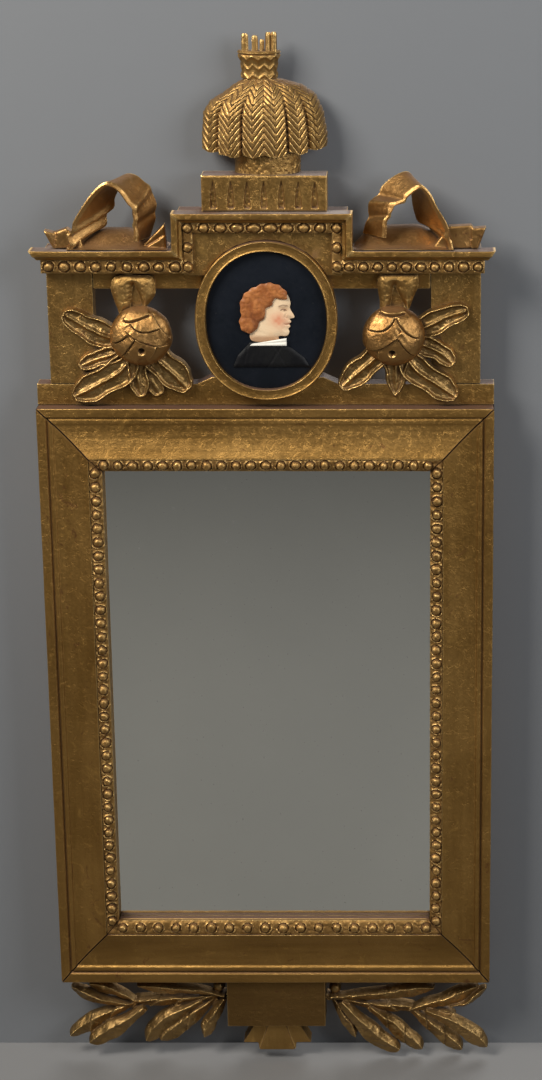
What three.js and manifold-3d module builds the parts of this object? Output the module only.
// A tall carved and gilded wall mirror with an open crest, a portrait medallion and laurel sprays.
//
// Millimetres, +Z up. The front faces -Y and the backs of the boards lie in the plane Y = 0, so a depth
// below is a distance forward from the wall, at Y = -depth. X = 0 is the centre line of the frame, and
// Z = 0 is halfway up the back face of the frame's top rail.

import * as THREE from "three";
import { mergeVertices } from "three/addons/utils/BufferGeometryUtils.js";
import Module from "manifold-3d";

const wasm = await Module();
wasm.setup();

// ---- Driving dimensions ----------------------------------------------------------------------------

const joint = 0.3; // gap in each glued or nailed joint
const openMitre = 0.5; // the frame's mitres have opened a little with age

// Main frame: four mitred rails round the sight opening.
const frameWidth = 460;
const frameHeight = 636;
const frameDepth = 36; // wall to the outer fillet
const sideRail = 64.5;
const topRail = 64;
const bottomRail = 75;
const rebateLip = 8; // how far the top rail covers the glass
const filletWidth = 9;
const quirkWidth = 3.5;
const quirkSink = 3;
const ridgeWidth = 5;
const panelLow = 34; // depth of the rising panel at the ridge
const panelHollow = 37.5; // and halfway across
const panelHigh = 44; // and at the beads
const slipWidth = 13; // beaded slip at the sight edge
const slipSeat = 34; // depth of the step that carries it
const slipWood = 8; // wood left between that step and the glass
const slipHigh = 42.5;
const slipLow = 39.5;

// Beads.
const beadRadius = 5;
const beadRise = 4.5; // height of a bead over its slip
const frameBeads = { top: 23, left: 35, bottom: 18, right: 35 };

// Glass, backboards and battens, all inside the rebate.
const glassThickness = 3;
const glassPlay = 0.8;
const plankThickness = 8;
const plankPlay = 0.8;
const battenThickness = 12.4;
const battenWidth = 40;
const battenInset = 130; // from the rebate's ends to the middle of a batten

// Crest boards.
const crestDepth = 20;
const baseBoardHeight = 22;
const cradleRise = 7; // the base board swells up under the medallion
const cradleHalf = 71;
const cradleTopHalf = 56;
const pilasterHeight = 139;
const topBoardHeight = 42;
const leftPilaster = 46;
const rightPilaster = 50;
const crestHalf = 216; // centre line to the outer edge of each pilaster

// Cornice: a moulding planted on the front of the crest boards.
const corniceFace = 10.5; // height of the moulding seen from the front
const corniceDepth = 42;
const corniceFillet = 6;
const corniceUnder = 37;
const corniceHalf = 229.5;
const corniceEndTaper = 7;
const centreRise = 37; // step up from the wings to the centre
const centreHalf = 89;
const centreBoardInset = 5; // the raised board stays back from the moulding's ends

// Beaded slips under the cornice and the panel behind the medallion.
const crestSlipHeight = 13;
const crestSlipDepth = 34;
const crestSlipOverhang = 3;
const panelThickness = 8;
const panelDrop = 53; // height of the centre panel below the cornice
const legWidth = 9.5;
const wingBeads = { left: 9, right: 10 };
const centreBeads = 10;

// Medallion.
const medallion = { x: 2.5, z: 117 };
const ovalHalfWidth = 71;
const ovalHalfHeight = 80.5;
const ovalRingWidth = 11;
const ovalPower = 0.94; // below 1 the oval is a little squarer than an ellipse
const ringDepth = 35;
const ringSink = 2; // hollow between the ring's two fine edges
const plaqueThickness = 8;
const plaqueLip = 4;
const reliefThickness = 2.4;
const hairThickness = 2.2;
const collarThickness = 1.2;

// Carved flowers: bud, calyx and leaves.
const leftBud = { x: -122, z: 102 };
const rightBud = { x: 129, z: 102 };
const budHalfWidth = 33;
const budHalfHeight = 32;
const budThickness = 25;
const budWaist = 4; // height of the widest part over the leaves' hub
const budHole = { x: 1, z: -14, radius: 4, length: 12 };
const hubRadius = 22;
const hubThickness = 12;
const sprayDepth = 26; // hub front, behind the bud
const sprayReach = 80; // bud's middle to about the farthest leaf tip
const leafDepth = 30;
const leafThickness = 9;
const calyxDepth = 33;
const calyxWeb = 13; // half width of the web that joins the two lobes
const calyxWebSink = 8; // the web starts this far under the bud's top
const calyxWebRise = 6; // and ends this far above it

// Ribbons and the mounds they stand on.
const ribbonThickness = 4.5;
const ribbonFront = 36;
const ribbonBack = 8;
const moundFront = 38;
const moundBack = 1;
const tailFront = 31;
const tailBack = 17;
const leftMoundX = -142.5;
const rightMoundX = 139.5;

// Finial on the centre of the cornice.
const finialX = 2.5;
const plinthHalf = 61.5;
const plinthHeight = 35;
const plinthDepth = 30;
const fluteCount = 7;
const flutePitch = 16.5;
const fluteWidth = 8;
const fluteHeight = 26;
const fluteFoot = 4;
const fluteSink = 3;
const drumX = 2.5; // the drum sits a little to the right of the plinth's middle
const drumHalf = 33;
const drumHeight = 20;
const drumDepth = 26;
const sheafHeight = 71; // drum top to the neck
const sheafHang = 3; // the tips hang this far over the drum
const sheafHalf = 62;
const sheafDepth = 34;
const sheafRipple = 5; // uneven lengths of the tips
const neckX = -3; // middle of the neck, left of the plinth's
const neckHalf = 20.5;
const neckDepth = 19;
const neckHeight = 27;
const stalkHeight = 18;
const stalkBack = 4;
const stalkFront = 11;

// Tablet, fan and laurel under the frame.
const tabletHalf = 53;
const tabletHeight = 54.5;
const tabletDepth = 30;
const fanHalf = 37;
const fanHeight = 30.5;
const fanStep = 7; // the outer blades end this far above the middle one
const fanDepth = 22;
const fanBladeRise = 4;
const laurelReach = 180; // tablet to about the farthest leaf tip
const laurelBranch = 13; // width
const laurelBranchSink = 6; // the branch lies this far behind the leaves' front
const laurelBack = 8;
const laurelFront = 28;
const laurelLeafThickness = 8;
const laurelLayer = 3; // step in depth from one leaf to the next behind it
const laurelRoot = 4; // extra wood behind each leaf

// Hangers on the backs of the side rails.
const hangerDrop = 62; // frame top to the knuckle's axis
const strapWidth = 12;
const strapLength = 52;
const strapThickness = 1.5;
const knuckleRadius = 3.4;
const knuckleLength = 10;
const wireRadius = 1.5;
const wireSides = 8;
const wirePlay = 0.4;
const ringHalf = 9.5; // middle of the wire
const ringLeg = 6;
const screwDrops = [29, 43];
const screwShank = 1.4;
const screwHead = 3.2;
const screwHeadHeight = 1.8;
const screwLength = 15;
const screwPlay = 0.35;

// ---- Derived places --------------------------------------------------------------------------------

const frameTop = (topRail - rebateLip) / 2;
const frameBottom = frameTop - frameHeight;
const rebateShare = 1 - rebateLip / topRail; // across a rail, outer edge 0 to sight edge 1
const glassBack = slipSeat - slipWood - glassThickness;
const plankBack = glassBack - joint - plankThickness;
const battenBack = plankBack - joint - battenThickness;
const baseBoardTop = frameTop + baseBoardHeight;
const wingTop = baseBoardTop + pilasterHeight;
const centreTop = wingTop + centreRise;
const planted = crestDepth + joint; // back of what is planted on the crest boards
const panelFront = planted + panelThickness;
const plaqueFront = planted + plaqueThickness;

// ---- Helpers ---------------------------------------------------------------------------------------

function solidOf(geometry) {
  geometry.deleteAttribute("normal");
  geometry.deleteAttribute("uv");
  const merged = mergeVertices(geometry);
  return new wasm.Manifold(new wasm.Mesh({
    numProp: 3,
    vertProperties: merged.attributes.position.array,
    triVerts: Uint32Array.from(merged.index.array),
  }));
}

function geometryOf(solid) {
  const mesh = solid.getMesh();
  const geometry = new THREE.BufferGeometry();
  geometry.setAttribute("position", new THREE.BufferAttribute(mesh.vertProperties, 3));
  geometry.setIndex(new THREE.BufferAttribute(mesh.triVerts, 1));
  geometry.computeVertexNormals();
  return geometry;
}

const join = (solids) => solids.reduce((whole, piece) => whole.add(piece));
const rectangle = (left, bottom, right, top) => [[left, bottom], [right, bottom], [right, top], [left, top]];
const shifted = (points, x, z) => points.map((point) => [point[0] + x, point[1] + z]);
const reaching = (points, reach, x, z) => shifted(points.map((point) => point.map((v) => v * reach)), x, z);

// A board cut to an outline in X and Z, between two depths.
function board(outline, back, front) {
  const shape = new THREE.Shape(outline.map(([x, z]) => new THREE.Vector2(x, z)));
  const geometry = new THREE.ExtrudeGeometry(shape, { depth: front - back, bevelEnabled: false });
  geometry.rotateX(Math.PI / 2);
  geometry.translate(0, -back, 0);
  return solidOf(geometry);
}

// A closed skin over a row of rings with equally many points. The ends are capped from their middles,
// or the last ring joins the first.
function loft(rings, closed = false) {
  const sides = rings[0].length;
  const points = rings.flat();
  const faces = [];
  const strips = closed ? rings.length : rings.length - 1;
  for (let i = 0; i < strips; i += 1) {
    const next = (i + 1) % rings.length;
    for (let j = 0; j < sides; j += 1) {
      const k = (j + 1) % sides;
      const [a, b, c, d] = [i * sides + j, i * sides + k, next * sides + k, next * sides + j];
      faces.push([a, b, c], [a, c, d]);
    }
  }
  if (!closed) {
    const last = (rings.length - 1) * sides;
    const middles = [rings[0], rings.at(-1)].map((ring) =>
      ring.reduce((sum, point) => sum.add(point), new THREE.Vector3()).divideScalar(sides));
    points.push(...middles);
    for (let j = 0; j < sides; j += 1) {
      const k = (j + 1) % sides;
      faces.push([points.length - 2, k, j], [points.length - 1, last + j, last + k]);
    }
  }
  const volume = faces.reduce((sum, [a, b, c]) =>
    sum + points[a].dot(new THREE.Vector3().crossVectors(points[b], points[c])), 0);
  const outward = volume < 0 ? faces.map(([a, b, c]) => [a, c, b]) : faces;
  const geometry = new THREE.BufferGeometry().setFromPoints(points);
  geometry.setIndex(outward.flat());
  return solidOf(geometry);
}

// A moulding with mitred ends. The profile runs across from 0 to 1 and forward in depth, and endsAt
// gives the two ends, [x, z], of the line at a share across.
function moulding(profile, endsAt, gap) {
  const shape = new THREE.Shape(profile.map(([across, depth]) => new THREE.Vector2(across, depth)));
  const geometry = new THREE.ExtrudeGeometry(shape, { depth: 1, bevelEnabled: false });
  const position = geometry.getAttribute("position");
  for (let i = 0; i < position.count; i += 1) {
    const ends = endsAt(position.getX(i)).map(([x, z]) => new THREE.Vector2(x, z));
    const [here, there] = position.getZ(i) < 0.5 ? ends : ends.reverse();
    here.addScaledVector(there.sub(here).normalize(), gap);
    position.setXYZ(i, here.x, -position.getY(i), here.y);
  }
  return solidOf(geometry);
}

const mix = (a, b, share) => a.map((value, i) => value + (b[i] - value) * share);

function bead(x, z, front) {
  const sphere = new THREE.SphereGeometry(beadRadius, 6, 4);
  sphere.translate(x, -(front - beadRadius), z);
  return solidOf(sphere);
}

// Beads on a strip, evenly from one end to the other. The share is the pitch left free at each end.
function beadRow(count, start, end, front, endShare = 0.5) {
  const places = Array.from({ length: count }, (_, i) => (i + endShare) / (count - 1 + 2 * endShare));
  return places.map((share) => bead(...mix(start, end, share), front));
}

function ellipse(halfWidth, halfHeight, steps, depth) {
  return Array.from({ length: steps }, (_, i) => {
    const angle = (i / steps) * 2 * Math.PI;
    const bulge = (value) => Math.sign(value) * Math.abs(value) ** ovalPower;
    return new THREE.Vector3(
      medallion.x + halfWidth * bulge(Math.cos(angle)),
      -depth,
      medallion.z + halfHeight * bulge(Math.sin(angle)),
    );
  });
}

const ovalSteps = 32;
const ovalBoard = (grow, back, front) => loft([back, front].map((depth) =>
  ellipse(ovalHalfWidth + grow, ovalHalfHeight + grow, ovalSteps, depth)));

// A carved leaf: flat behind, two swelling halves and a sunk midrib in front. The path runs from root
// to tip, and stations pair a share of the path with a share of the full width.
const broadLeaf = [[0, 0.6], [0.3, 0.95], [0.6, 1], [0.85, 0.8], [1, 0.35]];
const laurelLeaf = [[0, 0.4], [0.3, 0.75], [0.6, 1], [0.82, 0.92], [1, 0.35]];
const calyxLobe = [[0, 0.5], [0.3, 0.8], [0.65, 1], [0.9, 0.95], [1, 0.8]];
const branchShape = [[0, 0.5], [0.4, 0.85], [0.8, 1], [1, 0.8]];
const leafSection = [[-1, 0], [-1, 0.4], [-0.55, 1], [0, 0.75], [0.55, 1], [1, 0.4], [1, 0]];
const branchSection = [[-1, 0.3], [-0.7, 0.9], [0, 1.1], [0.7, 0.9], [1, 0.3], [0, 0]];

function leaf({ path, width, back, front, stations = broadLeaf, section = leafSection }) {
  const spine = new THREE.CatmullRomCurve3(path.map(([x, z]) => new THREE.Vector3(x, 0, z)));
  return loft(stations.map(([share, wide]) => {
    const middle = spine.getPointAt(share);
    const along = spine.getTangentAt(share);
    const side = new THREE.Vector3(-along.z, 0, along.x).multiplyScalar((width / 2) * wide);
    const swell = 0.55 + 0.45 * Math.sin(Math.PI * Math.min(0.15 + 0.7 * share, 1));
    return section.map(([across, rise]) => {
      const point = middle.clone().addScaledVector(side, across);
      point.y = -(back + (front - back) * rise * (rise > 0.5 ? swell : 1));
      return point;
    });
  }));
}

// ---- The object ------------------------------------------------------------------------------------

const mirror = new THREE.Group();

const finishes = {
  giltRail: { color: 0x74572b, roughness: 0.48, metalness: 0.75 },
  giltCarving: { color: 0x9a7538, roughness: 0.4, metalness: 0.8 },
  glass: { color: 0x777a72, roughness: 0.08, metalness: 1 },
  oldPine: { color: 0x8b6b46, roughness: 0.85, metalness: 0 },
  plaque: { color: 0x0b0d17, roughness: 0.25, metalness: 0 },
  skin: { color: 0xd9b48c, roughness: 0.5, metalness: 0 },
  hair: { color: 0xa65a2a, roughness: 0.55, metalness: 0 },
  linen: { color: 0xe8e0cf, roughness: 0.6, metalness: 0 },
  coat: { color: 0x101218, roughness: 0.4, metalness: 0 },
  iron: { color: 0x4a423a, roughness: 0.5, metalness: 0.9 },
};

function add(name, solid, finish) {
  const mesh = new THREE.Mesh(geometryOf(solid), new THREE.MeshStandardMaterial(finishes[finish]));
  mesh.name = name;
  mirror.add(mesh);
}

// ---- Frame -----------------------------------------------------------------------------------------

// The rectangle at a share across the rails, from the outer edge to the sight edge.
function frameRectangle(across) {
  return {
    left: -frameWidth / 2 + sideRail * across,
    right: frameWidth / 2 - sideRail * across,
    top: frameTop - topRail * across,
    bottom: frameBottom + bottomRail * across,
  };
}

// Each rail's two ends at a share across, anticlockwise as seen from the front.
const railEnds = {
  top: ({ left, right, top }) => [[right, top], [left, top]],
  left: ({ left, top, bottom }) => [[left, top], [left, bottom]],
  bottom: ({ left, right, bottom }) => [[left, bottom], [right, bottom]],
  right: ({ right, top, bottom }) => [[right, bottom], [right, top]],
};

const panelFoot = filletWidth + quirkWidth + ridgeWidth;
const slipEdge = sideRail - slipWidth;
const railProfile = [
  [0, 0],
  [0, frameDepth],
  [filletWidth, frameDepth],
  [filletWidth + quirkWidth / 2, frameDepth - quirkSink],
  [filletWidth + quirkWidth, frameDepth - 0.5],
  [panelFoot - ridgeWidth / 3, frameDepth],
  [panelFoot, panelLow],
  [(panelFoot + slipEdge) / 2, panelHollow],
  [slipEdge, panelHigh],
  [slipEdge, slipSeat],
  [sideRail, slipSeat],
  [sideRail, glassBack + glassThickness + joint],
  [sideRail * rebateShare, glassBack + glassThickness + joint],
  [sideRail * rebateShare, 0],
].map(([across, depth]) => [across / sideRail, depth]);

const slipProfile = [
  [slipEdge + joint, slipSeat + joint],
  [slipEdge + joint, slipHigh],
  [sideRail, slipLow],
  [sideRail, slipSeat + joint],
].map(([across, depth]) => [across / sideRail, depth]);

// Middle of a hanger's knuckle on a side rail's back.
function hangerPlace(sign) {
  return { x: sign * (frameWidth / 2 - (sideRail * rebateShare) / 2), z: frameTop - hangerDrop };
}

function roundHole(x, z, radius, back, front) {
  const cylinder = new THREE.CylinderGeometry(radius, radius, front - back, 8);
  cylinder.translate(x, -(back + front) / 2, z);
  return solidOf(cylinder);
}

function addFrame() {
  const mitre = openMitre * Math.SQRT1_2;
  const beadAcross = (slipEdge / sideRail + 1) / 2;
  const beadFront = (slipHigh + slipLow) / 2 + beadRise;
  for (const [side, endsOf] of Object.entries(railEnds)) {
    const endsAt = (across) => endsOf(frameRectangle(across));
    let rail = moulding(railProfile, endsAt, mitre);
    const sign = { left: -1, right: 1 }[side];
    if (sign) {
      const { x, z } = hangerPlace(sign);
      for (const drop of screwDrops) {
        rail = rail.subtract(roundHole(x, z - drop, screwShank + screwPlay, -1, screwLength + 1));
      }
    }
    add(`rail_${side}`, rail, "giltRail");

    const strip = moulding(slipProfile, endsAt, mitre);
    const [start, end] = endsAt(beadAcross);
    const beads = beadRow(frameBeads[side], start, end, beadFront);
    add(`pearl_strip_${side}`, join([strip, ...beads]), "giltCarving");
  }
}

function addGlassAndBack() {
  const rebate = frameRectangle(rebateShare);
  const sheet = (play) => rectangle(
    rebate.left + play,
    rebate.bottom + play,
    rebate.right - play,
    rebate.top - play,
  );
  add("mirror_plate", board(sheet(glassPlay), glassBack, glassBack + glassThickness), "glass");

  const [[left, bottom], , [right, top]] = sheet(plankPlay);
  const planks = {
    left: rectangle(left, bottom, -joint, top),
    right: rectangle(joint, bottom, right, top),
  };
  for (const [side, outline] of Object.entries(planks)) {
    add(`backboard_${side}`, board(outline, plankBack, plankBack + plankThickness), "oldPine");
  }

  const battens = { upper: rebate.top - battenInset, lower: rebate.bottom + battenInset };
  for (const [place, middle] of Object.entries(battens)) {
    const outline = rectangle(left, middle - battenWidth / 2, right, middle + battenWidth / 2);
    add(`batten_${place}`, board(outline, battenBack, battenBack + battenThickness), "oldPine");
  }
}

// ---- Crest -----------------------------------------------------------------------------------------

function addCrestBoards() {
  const half = frameWidth / 2;
  const base = [
    [-half, frameTop + joint],
    [half, frameTop + joint],
    [half, baseBoardTop],
    [medallion.x + cradleHalf, baseBoardTop],
    [medallion.x + cradleTopHalf, baseBoardTop + cradleRise],
    [medallion.x - cradleTopHalf, baseBoardTop + cradleRise],
    [medallion.x - cradleHalf, baseBoardTop],
    [-half, baseBoardTop],
  ];
  add("crest_base_board", board(base, 0, crestDepth), "giltRail");

  const innerLeft = leftPilaster - crestHalf;
  const innerRight = crestHalf - rightPilaster;
  const foot = baseBoardTop + joint;
  const left = rectangle(-crestHalf, foot, innerLeft, wingTop);
  const right = rectangle(innerRight, foot, crestHalf, wingTop);
  add("pilaster_left", board(left, 0, crestDepth), "giltRail");
  add("pilaster_right", board(right, 0, crestDepth), "giltRail");

  const raised = centreHalf - centreBoardInset;
  const topBoard = [
    [innerLeft + joint, wingTop - topBoardHeight],
    [innerRight - joint, wingTop - topBoardHeight],
    [innerRight - joint, wingTop],
    [raised, wingTop],
    [raised, centreTop],
    [-raised, centreTop],
    [-raised, wingTop],
    [innerLeft + joint, wingTop],
  ];
  add("crest_top_board", board(topBoard, 0, crestDepth), "giltRail");
}

const corniceProfile = [
  [0, planted],
  [0, corniceDepth],
  [corniceFillet / corniceFace, corniceDepth],
  [(corniceFillet + 1.5) / corniceFace, corniceUnder],
  [1, corniceUnder - 2],
  [1, planted],
];

// The cornice's path at a share across its face, from the right end over the centre to the left end.
function cornicePath(across) {
  const inset = corniceFace * across;
  const end = corniceHalf - corniceEndTaper * across;
  const step = centreHalf - inset;
  return [
    [end, wingTop - inset],
    [step, wingTop - inset],
    [step, centreTop - inset],
    [-step, centreTop - inset],
    [-step, wingTop - inset],
    [-end, wingTop - inset],
  ];
}

function addCornice() {
  const lengths = ["wing_right", "riser_right", "centre", "riser_left", "wing_left"];
  lengths.forEach((name, i) => {
    const endsAt = (across) => cornicePath(across).slice(i, i + 2);
    add(`cornice_${name}`, moulding(corniceProfile, endsAt, joint * Math.SQRT1_2), "giltRail");
  });
}

function addCentrePanelAndSlips() {
  const half = centreHalf - corniceFace - joint;
  const top = centreTop - corniceFace - joint;
  const bottom = top - panelDrop;
  const panel = board(rectangle(-half, bottom, half, top), planted, panelFront);
  const ovalCut = ovalBoard(joint, planted - 1, panelFront + 1);
  add("crest_centre_panel", panel.subtract(ovalCut), "giltRail");

  const wingSlipTop = wingTop - corniceFace - joint;
  const wingSlipBottom = wingSlipTop - crestSlipHeight;
  const beadLine = (wingSlipTop + wingSlipBottom) / 2;
  const beadFront = crestSlipDepth + beadRise;
  const outer = crestHalf + crestSlipOverhang;
  const inner = half + joint;
  for (const [side, sign] of [["left", -1], ["right", 1]]) {
    const outline = rectangle(
      Math.min(sign * outer, sign * inner),
      wingSlipBottom,
      Math.max(sign * outer, sign * inner),
      wingSlipTop,
    );
    const row = beadRow(wingBeads[side], [sign * inner, beadLine], [sign * outer, beadLine], beadFront);
    const slip = join([board(outline, planted, crestSlipDepth), ...row]);
    add(`crest_pearl_${side}`, slip, "giltCarving");
  }

  const legs = half - legWidth;
  const arch = [
    [-half, wingSlipBottom],
    [-legs, wingSlipBottom],
    [-legs, top - legWidth],
    [legs, top - legWidth],
    [legs, wingSlipBottom],
    [half, wingSlipBottom],
    [half, top],
    [-half, top],
  ];
  const legX = half - legWidth / 2;
  const topLine = top - legWidth / 2;
  const middleLine = (topLine + beadLine) / 2;
  const beads = beadRow(centreBeads, [-legX, topLine], [legX, topLine], beadFront, 0);
  for (const x of [-legX, legX]) {
    beads.push(bead(x, middleLine, beadFront), bead(x, beadLine, beadFront));
  }
  const centre = join([board(arch, panelFront + joint, crestSlipDepth), ...beads]);
  add("crest_pearl_centre", centre, "giltCarving");
}

// ---- Medallion -------------------------------------------------------------------------------------

function addMedallion() {
  const section = [
    [0, planted],
    [0, ringDepth - 2],
    [2, ringDepth],
    [ovalRingWidth / 2, ringDepth - ringSink],
    [ovalRingWidth - 1.5, ringDepth],
    [ovalRingWidth, ringDepth - 2],
    [ovalRingWidth, plaqueFront + joint],
    [ovalRingWidth - plaqueLip, plaqueFront + joint],
    [ovalRingWidth - plaqueLip, planted],
  ];
  const loops = section.map(([inset, depth]) =>
    ellipse(ovalHalfWidth - inset, ovalHalfHeight - inset, ovalSteps, depth));
  add("medallion_ring", loft(loops, true), "giltCarving");

  const plaqueInset = ovalRingWidth - plaqueLip + joint;
  add("medallion_plaque", ovalBoard(-plaqueInset, planted, plaqueFront), "plaque");
}

// The relief on the plaque is built up in layers. The face is a plain classical profile, in shares of
// the head's height from the chin, and looks to the right.
const headHeight = 48;
const headBase = { x: 5.5, z: -15.5 }; // chin line from the medallion's middle
const faceOutline = [
  [-0.42, -0.1], [0.1, -0.12], [0.14, -0.01], [0.3, 0.0], [0.36, 0.08], [0.34, 0.15], [0.38, 0.2],
  [0.36, 0.25], [0.4, 0.3], [0.37, 0.36], [0.47, 0.4], [0.38, 0.58], [0.39, 0.7], [0.33, 0.86],
  [0.16, 0.98], [-0.08, 1.0], [-0.34, 0.92], [-0.48, 0.72], [-0.5, 0.45], [-0.44, 0.2],
];
const hairOutline = [
  [0.34, 0.8], [0.3, 0.97], [0.12, 1.1], [-0.1, 1.13], [-0.36, 1.04], [-0.56, 0.9], [-0.66, 0.68],
  [-0.64, 0.46], [-0.68, 0.28], [-0.6, 0.1], [-0.44, 0.06], [-0.32, 0.14], [-0.24, 0.3],
  [-0.14, 0.38], [-0.12, 0.56], [0.02, 0.66], [0.08, 0.8], [0.22, 0.78],
];
const collarOutline = [[-0.42, -0.16], [0.3, -0.04], [0.3, -0.2], [-0.46, -0.2]];
const coatOutline = [
  [-0.46, -0.14], [0.18, -0.15], [0.4, -0.26], [0.66, -0.46], [0.78, -0.66], [-0.82, -0.66],
  [-0.72, -0.42],
];

function addPortrait() {
  const place = (outline) => outline.map(([x, z]) => [
    medallion.x + headBase.x + x * headHeight,
    medallion.z + headBase.z + z * headHeight,
  ]);
  const low = plaqueFront + joint;
  const high = low + reliefThickness + joint;
  const head = board(place(faceOutline), low, low + reliefThickness);
  const coat = board(place(coatOutline), low, low + reliefThickness);
  const neckCut = board(shifted(place(faceOutline), 0, -joint), low - 1, high);
  add("portrait_head", head, "skin");
  add("portrait_coat", coat.subtract(neckCut), "coat");
  add("portrait_hair", board(place(hairOutline), high, high + hairThickness), "hair");
  add("portrait_collar", board(place(collarOutline), high, high + collarThickness), "linen");
}

// ---- Flowers ---------------------------------------------------------------------------------------

// Leaf paths and calyx lobes from the bud's middle, and the width of each, in shares of the spray's reach.
const leftLeaves = [
  { path: [[-0.15, -0.075], [-0.425, -0.025], [-0.7, 0.1], [-0.988, 0.275]], width: 0.3 },
  { path: [[-0.125, -0.15], [-0.362, -0.25], [-0.575, -0.312], [-0.812, -0.425]], width: 0.212 },
  { path: [[-0.1, -0.2], [-0.275, -0.463], [-0.562, -0.637], [-0.9, -0.812]], width: 0.338 },
  { path: [[-0.037, -0.2], [-0.075, -0.438], [-0.05, -0.637], [-0.025, -0.825]], width: 0.237 },
  { path: [[0.062, -0.175], [0.2, -0.338], [0.388, -0.512], [0.575, -0.725]], width: 0.338 },
];
const rightLeaves = [
  { path: [[0.125, 0.025], [0.4, 0.1], [0.662, 0.225], [0.95, 0.312]], width: 0.275 },
  { path: [[0.15, -0.075], [0.412, -0.15], [0.588, -0.237], [0.762, -0.4]], width: 0.237 },
  { path: [[0.1, -0.2], [0.275, -0.45], [0.525, -0.625], [0.8, -0.825]], width: 0.312 },
  { path: [[0.025, -0.2], [0.025, -0.438], [0.025, -0.637], [0.013, -0.812]], width: 0.275 },
  { path: [[-0.1, -0.175], [-0.287, -0.35], [-0.463, -0.5], [-0.675, -0.7]], width: 0.287 },
];
const leftCalyx = [
  { path: [[-0.2, 0.338], [-0.237, 0.537], [-0.188, 0.762]], width: 0.275 },
  { path: [[0.1, 0.4], [0.062, 0.562], [0.05, 0.762]], width: 0.25 },
];
const rightCalyx = [
  { path: [[-0.1, 0.388], [-0.106, 0.55], [-0.069, 0.762]], width: 0.225 },
  { path: [[0.163, 0.375], [0.169, 0.55], [0.163, 0.762]], width: 0.287 },
];

function budBody(middle, grow) {
  const sphere = new THREE.SphereGeometry(1, 16, 10);
  sphere.scale(budHalfWidth + grow, budThickness - budWaist + grow, budHalfHeight + grow);
  sphere.translate(middle.x, -(sprayDepth + budWaist), middle.z);
  return solidOf(sphere);
}

function addFlower(side, middle, leaves, lobes) {
  const reach = 2 * Math.max(budHalfWidth, budHalfHeight);
  const behind = rectangle(middle.x - reach, middle.z - reach, middle.x + reach, middle.z + reach);
  const hole = roundHole(
    middle.x + budHole.x,
    middle.z + budHole.z,
    budHole.radius,
    sprayDepth + budThickness - budHole.length,
    sprayDepth + budThickness + 1,
  );
  const bud = budBody(middle, 0).subtract(board(behind, 0, sprayDepth + joint)).subtract(hole);
  add(`bud_${side}`, bud, "giltCarving");

  const hub = roundHole(middle.x, middle.z, hubRadius, sprayDepth - hubThickness, sprayDepth);
  const carved = leaves.map(({ path, width }) => leaf({
    path: reaching(path, sprayReach, middle.x, middle.z),
    width: width * sprayReach,
    back: leafDepth - leafThickness - joint * 2,
    front: leafDepth,
  }));
  const clearOfBoards = board(rectangle(-frameWidth, frameTop, frameWidth, wingTop), 0, planted);
  const clearOfBud = budBody(middle, joint);
  const behindBud = board(behind, sprayDepth, leafDepth + budThickness).intersect(clearOfBud);
  const spray = join(carved).subtract(clearOfBoards).subtract(behindBud);
  add(`leaf_spray_${side}`, spray.add(hub), "giltCarving");

  const web = rectangle(
    -calyxWeb, budHalfHeight - calyxWebSink, calyxWeb, budHalfHeight + calyxWebRise);
  const calyx = join(lobes.map(({ path, width }) => leaf({
    path: reaching(path, sprayReach, middle.x, middle.z),
    width: width * sprayReach,
    back: planted,
    front: calyxDepth,
    stations: calyxLobe,
  }))).add(board(shifted(web, middle.x, middle.z), planted, sprayDepth));
  const clearOfHub = roundHole(middle.x, middle.z, hubRadius + joint, 0, leafDepth);
  add(`calyx_${side}`, calyx.subtract(clearOfBud).subtract(clearOfHub), "giltCarving");
}

// ---- Ribbons ---------------------------------------------------------------------------------------

// Front and back edges of each band of ribbon, and the mound's and tails' outlines, from the middle of
// the mound on the cornice.
const leftRibbon = {
  front: [[-50, 1], [-48, 18], [-40, 34], [-24, 56], [-9, 67], [5, 60], [16, 43], [21, 27], [20, 8]],
  back: [[-34, 1], [-22, 17], [-13, 32], [-5, 52], [6, 70], [21, 69], [34, 53], [39, 35], [31, 8]],
};
const rightRibbon = {
  front: [[49, 1], [44, 24], [34, 42], [26, 56], [17, 64], [7, 59], [-8, 46], [-19, 33], [-21, 12]],
  back: [[40, 1], [28, 18], [14, 32], [10, 56], [7, 71], [-3, 73], [-20, 62], [-34, 42], [-42, 12]],
};
const leftMound = {
  body: [[-50, 0], [-17, 16.5], [13, 16], [28, 10], [50, 0]],
  tails: [[-62, 0], [-73, 18], [-63, 16], [-50, 20], [-30, 4], [26, 4], [46, 24], [48, 0]],
};
const rightMound = {
  body: [[-50, 0], [-32, 18], [14, 20], [30, 13], [49, 0]],
  tails: [[28, 0], [44, 22], [66, 23], [69, 20], [81, 21], [73, 0]],
};

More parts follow.
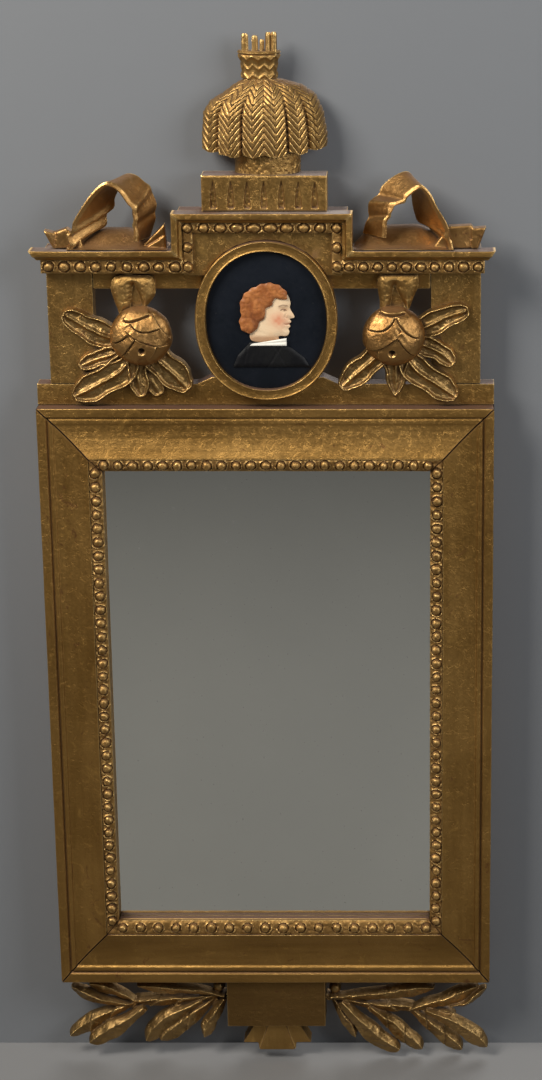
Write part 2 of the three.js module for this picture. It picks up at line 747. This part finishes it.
function addRibbon(side, middleX, ribbon, mound) {
  const foot = wingTop + joint;
  const stand = (grow, ...shift) => board(
    shifted(mound.body, middleX + shift[0], foot + shift[1]), moundBack - grow, moundFront + grow,
  ).add(board(
    shifted(mound.tails, middleX + shift[0], foot + shift[1]), tailBack - grow, tailFront + grow));
  add(`ribbon_mound_${side}`, stand(0, 0, 0), "giltCarving");

  const curve = (points) => new THREE.CatmullRomCurve3(
    shifted(points, middleX, foot).map(([x, z]) => new THREE.Vector3(x, 0, z)));
  const [front, back] = [curve(ribbon.front), curve(ribbon.back)];
  const steps = 16;
  const rings = Array.from({ length: steps + 1 }, (_, i) => {
    const a = front.getPoint(i / steps);
    const b = back.getPoint(i / steps);
    const along = front.getTangent(i / steps).add(back.getTangent(i / steps)).normalize();
    const inward = new THREE.Vector3(along.z, 0, -along.x).multiplyScalar(
      ribbonThickness * -Math.sign(middleX));
    a.y = -ribbonFront;
    b.y = -ribbonBack;
    return [a, b, b.clone().add(inward), a.clone().add(inward)];
  });
  const clearOfStand = join([stand(joint, 0, joint), stand(joint, -joint, 0), stand(joint, joint, 0)]);
  const clearOfCornice = board(rectangle(-frameWidth, baseBoardTop, frameWidth, foot), 0, moundFront);
  const band = loft(rings).subtract(clearOfStand).subtract(clearOfCornice);
  add(`ribbon_${side}`, band, "giltCarving");
}

// ---- Finial ----------------------------------------------------------------------------------------

// Half rings, flat on the wall side: [height, left, right, depth] from the finial's middle and foot.
// Every second point of the lowest ring hangs lower by the ripple.
function halfRings(levels, baseZ, ripple = 0) {
  const steps = 16;
  return levels.map(([height, left, right, depth], level) =>
    Array.from({ length: steps + 1 }, (_, i) => {
      const angle = Math.PI * (1 - i / steps);
      const middle = (left + right) / 2;
      const hang = level === 0 && i % 2 === 1 ? ripple : 0;
      return new THREE.Vector3(
        finialX + middle + ((right - left) / 2) * Math.cos(angle),
        -depth * Math.sin(angle) ** 0.75,
        baseZ + height - hang,
      );
    }));
}

function drumBody(baseZ, grow) {
  const [left, right, depth] = [drumX - drumHalf - grow, drumX + drumHalf + grow, drumDepth + grow];
  return loft(halfRings([[-grow, left, right, depth], [drumHeight + grow, left, right, depth]], baseZ));
}

function addFinial() {
  const plinthFoot = centreTop + joint;
  const plinthTop = plinthFoot + plinthHeight;
  let plinth = board(
    rectangle(finialX - plinthHalf, plinthFoot, finialX + plinthHalf, plinthTop), 0, plinthDepth);
  for (let i = 0; i < fluteCount; i += 1) {
    const x = finialX + (i - (fluteCount - 1) / 2) * flutePitch;
    const foot = plinthFoot + fluteFoot;
    const flute = [
      [x - fluteWidth / 2, foot],
      [x + fluteWidth / 2, foot],
      [x + fluteWidth / 2.6, foot + fluteHeight * 0.6],
      [x, foot + fluteHeight],
      [x - fluteWidth / 2.6, foot + fluteHeight * 0.6],
    ];
    plinth = plinth.subtract(board(flute, plinthDepth - fluteSink, plinthDepth + 1));
  }
  add("plinth_block", plinth, "giltRail");

  const drumFoot = plinthTop + joint;
  add("finial_drum", drumBody(drumFoot, 0), "giltCarving");

  const sheafFoot = drumFoot + drumHeight;
  const sheafShares = [
    [0.2, -1, 1, 1],
    [0.54, -0.97, 0.95, 0.98],
    [0.7, -0.85, 0.87, 0.91],
    [0.8, -0.66, 0.81, 0.79],
    [0.92, -0.47, 0.6, 0.62],
    [1, -0.31, 0.26, 0.44],
  ];
  const scaled = (shares, height, half, depth) =>
    shares.map(([up, left, right, out]) => [up * height, left * half, right * half, out * depth]);
  const hem = [-sheafHang, -0.97 * sheafHalf, 0.98 * sheafHalf, 0.97 * sheafDepth];
  const sheafRings = [hem, ...scaled(sheafShares, sheafHeight, sheafHalf, sheafDepth)];
  const sheaf = loft(halfRings(sheafRings, sheafFoot, sheafRipple));
  add("finial_sheaf", sheaf.subtract(drumBody(drumFoot, joint)), "giltCarving");

  const neckFoot = sheafFoot + sheafHeight + joint;
  const cupShares = [
    [0, -0.83, 0.83, 0.74],
    [0.45, -0.83, 0.83, 0.79],
    [0.9, -1, 1, 1],
    [1, -0.93, 0.93, 0.9],
  ];
  const cupRings = scaled(cupShares, neckHeight, neckHalf, neckDepth)
    .map(([up, left, right, out]) => [up, neckX + left, neckX + right, out]);
  const cup = loft(halfRings(cupRings, neckFoot));
  const stalks = [[-0.8, -0.5], [-0.3, 0.2], [0.4, 0.75]].map(([left, right]) => board(rectangle(
    finialX + neckX + left * neckHalf,
    neckFoot + neckHeight / 2,
    finialX + neckX + right * neckHalf,
    neckFoot + neckHeight + stalkHeight,
  ), stalkBack, stalkFront));
  add("finial_neck", join([cup, ...stalks]), "giltCarving");
}

// ---- Under the frame -------------------------------------------------------------------------------

// Laurel leaves from the tablet's upper corner, with the width of each, in shares of the laurel's reach.
const leftLaurel = [
  { path: [[-0.017, -0.122], [-0.167, -0.089], [-0.35, -0.075], [-0.544, -0.056]], width: 0.067 },
  { path: [[-0.561, -0.161], [-0.661, -0.106], [-0.761, -0.067], [-0.833, -0.053]], width: 0.078 },
  { path: [[-0.556, -0.183], [-0.711, -0.25], [-0.828, -0.319], [-0.961, -0.406]], width: 0.094 },
  { path: [[-0.5, -0.206], [-0.611, -0.294], [-0.717, -0.364], [-0.839, -0.439]], width: 0.106 },
  { path: [[-0.156, -0.167], [-0.3, -0.244], [-0.406, -0.319], [-0.494, -0.433]], width: 0.106 },
  { path: [[-0.067, -0.15], [-0.194, -0.256], [-0.3, -0.344], [-0.417, -0.433]], width: 0.106 },
  { path: [[-0.017, -0.144], [-0.067, -0.233], [-0.111, -0.306], [-0.139, -0.4]], width: 0.078 },
  { path: [[-0.589, -0.189], [-0.739, -0.161], [-0.833, -0.128], [-0.939, -0.067]], width: 0.072 },
];
const rightLaurel = [
  {
    path: [[0.028, -0.133], [0.189, -0.122], [0.367, -0.106], [0.533, -0.083], [0.656, -0.067]],
    width: 0.083,
  },
  {
    path: [[0.5, -0.228], [0.622, -0.183], [0.733, -0.156], [0.828, -0.111], [0.917, -0.067]],
    width: 0.089,
  },
  { path: [[0.044, -0.156], [0.094, -0.261], [0.144, -0.339], [0.172, -0.417]], width: 0.067 },
  { path: [[0.089, -0.167], [0.222, -0.317], [0.317, -0.414], [0.444, -0.489]], width: 0.106 },
  { path: [[0.256, -0.206], [0.394, -0.317], [0.483, -0.406], [0.583, -0.483]], width: 0.094 },
  { path: [[0.5, -0.217], [0.639, -0.339], [0.733, -0.422], [0.822, -0.5]], width: 0.094 },
  { path: [[0.6, -0.222], [0.767, -0.3], [0.861, -0.367], [0.972, -0.467]], width: 0.1 },
  { path: [[0.744, -0.2], [0.844, -0.175], [0.911, -0.117], [0.967, -0.072]], width: 0.05 },
];
const leftBranch = [[0, -0.133], [-0.217, -0.153], [-0.4, -0.169], [-0.578, -0.178]];
const rightBranch = [[0, -0.139], [0.278, -0.197], [0.45, -0.211], [0.544, -0.228]];

function addUnderFrame() {
  const top = frameBottom - joint;
  const tabletBottom = top - tabletHeight;
  const tablet = rectangle(-tabletHalf, tabletBottom, tabletHalf, top);
  add("bottom_tablet", board(tablet, 0, tabletDepth), "giltRail");

  const fanTop = tabletBottom - joint;
  const fan = [
    [-0.65 * fanHalf, 0],
    [-fanHalf, fanStep - fanHeight],
    [-0.57 * fanHalf, fanStep - fanHeight],
    [-0.54 * fanHalf, -fanHeight],
    [0.54 * fanHalf, -fanHeight],
    [0.57 * fanHalf, fanStep - fanHeight],
    [fanHalf, fanStep - fanHeight],
    [0.65 * fanHalf, 0],
  ];
  const blade = [
    [-0.27 * fanHalf, 0],
    [-0.52 * fanHalf, 0.5 - fanHeight],
    [0.52 * fanHalf, 0.5 - fanHeight],
    [0.27 * fanHalf, 0],
  ];
  const fanBody = board(shifted(fan, 0, fanTop), 0, fanDepth);
  const fanBlade = board(shifted(blade, 0, fanTop), fanDepth - 1, fanDepth + fanBladeRise);
  add("bottom_fan", fanBody.add(fanBlade), "giltCarving");

  const sprays = [["left", -1, leftLaurel, leftBranch], ["right", 1, rightLaurel, rightBranch]];
  for (const [side, sign, leaves, spine] of sprays) {
    const cornerX = sign * (tabletHalf + joint);
    const branch = leaf({
      path: reaching(spine, laurelReach, cornerX, top),
      width: laurelBranch,
      back: laurelBack,
      front: laurelFront - laurelBranchSink,
      stations: branchShape,
      section: branchSection,
    });
    const carved = leaves.map(({ path, width }, i) => leaf({
      path: reaching(path, laurelReach, cornerX, top),
      width: width * laurelReach,
      back: laurelFront - laurelLeafThickness - (i % 3) * laurelLayer - laurelRoot,
      front: laurelFront - (i % 3) * laurelLayer,
      stations: laurelLeaf,
    }));
    const above = board(rectangle(-frameWidth, top, frameWidth, frameTop), 0, frameDepth);
    const beside = board(
      rectangle(-tabletHalf - joint, tabletBottom, tabletHalf + joint, top), 0, frameDepth);
    const spray = join([branch, ...carved]).subtract(above).subtract(beside);
    add(`laurel_${side}`, spray, "giltCarving");
  }
}

// ---- Hangers ---------------------------------------------------------------------------------------

const strapBack = -joint; // depths behind the frame are negative
const strapFront = strapBack - strapThickness;
const knuckleDepth = strapBack - knuckleRadius;

function hangerPlate(x, z) {
  const strap = board(
    rectangle(x - strapWidth / 2, z - strapLength, x + strapWidth / 2, z), strapFront, strapBack);
  const tube = new THREE.Shape();
  tube.absarc(0, 0, knuckleRadius, 0, 2 * Math.PI);
  const knuckleGeometry = new THREE.ExtrudeGeometry(
    tube, { depth: knuckleLength, bevelEnabled: false, curveSegments: 12 });
  knuckleGeometry.rotateY(Math.PI / 2);
  knuckleGeometry.translate(x - knuckleLength / 2, -knuckleDepth, z);
  const bore = new THREE.CylinderGeometry(
    wireRadius + wirePlay, wireRadius + wirePlay, knuckleLength + 2, 12);
  bore.rotateZ(Math.PI / 2);
  bore.translate(x, -knuckleDepth, z);
  const holes = screwDrops.map((drop) =>
    roundHole(x, z - drop, screwShank + screwPlay, strapFront - 1, strapBack + 1));
  return strap.add(solidOf(knuckleGeometry)).subtract(join([solidOf(bore), ...holes]));
}

// A D ring hanging from its straight side, with the wire's section turned along the path.
function hangerRing(x, z) {
  const arcSteps = 10;
  const path = [[-ringHalf, 0], [ringHalf, 0]];
  for (let i = 0; i <= arcSteps; i += 1) {
    const angle = -(i / arcSteps) * Math.PI;
    path.push([ringHalf * Math.cos(angle), ringHalf * Math.sin(angle) - ringLeg]);
  }
  const at = (i) => new THREE.Vector2(...path[(i + path.length) % path.length]);
  const rings = path.map((_, i) => {
    const before = at(i).sub(at(i - 1)).normalize();
    const after = at(i + 1).sub(at(i)).normalize();
    const along = before.clone().add(after).normalize();
    const outward = new THREE.Vector2(along.y, -along.x).divideScalar(along.dot(after));
    return Array.from({ length: wireSides }, (_unused, k) => {
      const turn = ((k + 0.5) / wireSides) * 2 * Math.PI;
      const reach = wireRadius * Math.cos(turn);
      return new THREE.Vector3(
        x + at(i).x + outward.x * reach,
        -knuckleDepth + wireRadius * Math.sin(turn),
        z + at(i).y + outward.y * reach,
      );
    });
  });
  return loft(rings, true);
}

function hangerScrew(x, z) {
  const head = -strapFront + joint;
  const profile = [
    [0, head + screwHeadHeight],
    [screwHead * 0.6, head + screwHeadHeight],
    [screwHead, head + screwHeadHeight * 0.3],
    [screwHead, head],
    [screwShank, head],
    [screwShank, 4 - screwLength],
    [0, -screwLength],
  ].map(([radius, y]) => new THREE.Vector2(radius, -y));
  const screw = new THREE.LatheGeometry(profile, 8);
  screw.rotateX(Math.PI);
  screw.translate(x, 0, z);
  return solidOf(screw);
}

function addHangers() {
  for (const [side, sign] of [["left", -1], ["right", 1]]) {
    const { x, z } = hangerPlace(sign);
    add(`hanger_plate_${side}`, hangerPlate(x, z), "iron");
    add(`hanger_ring_${side}`, hangerRing(x, z), "iron");
    screwDrops.forEach((drop, i) => {
      add(`hanger_screw_${side}_${["upper", "lower"][i]}`, hangerScrew(x, z - drop), "iron");
    });
  }
}

addFrame();
addGlassAndBack();
addCrestBoards();
addCornice();
addCentrePanelAndSlips();
addMedallion();
addPortrait();
addFlower("left", leftBud, leftLeaves, leftCalyx);
addFlower("right", rightBud, rightLeaves, rightCalyx);
addRibbon("left", leftMoundX, leftRibbon, leftMound);
addRibbon("right", rightMoundX, rightRibbon, rightMound);
addFinial();
addUnderFrame();
addHangers();

export default mirror;
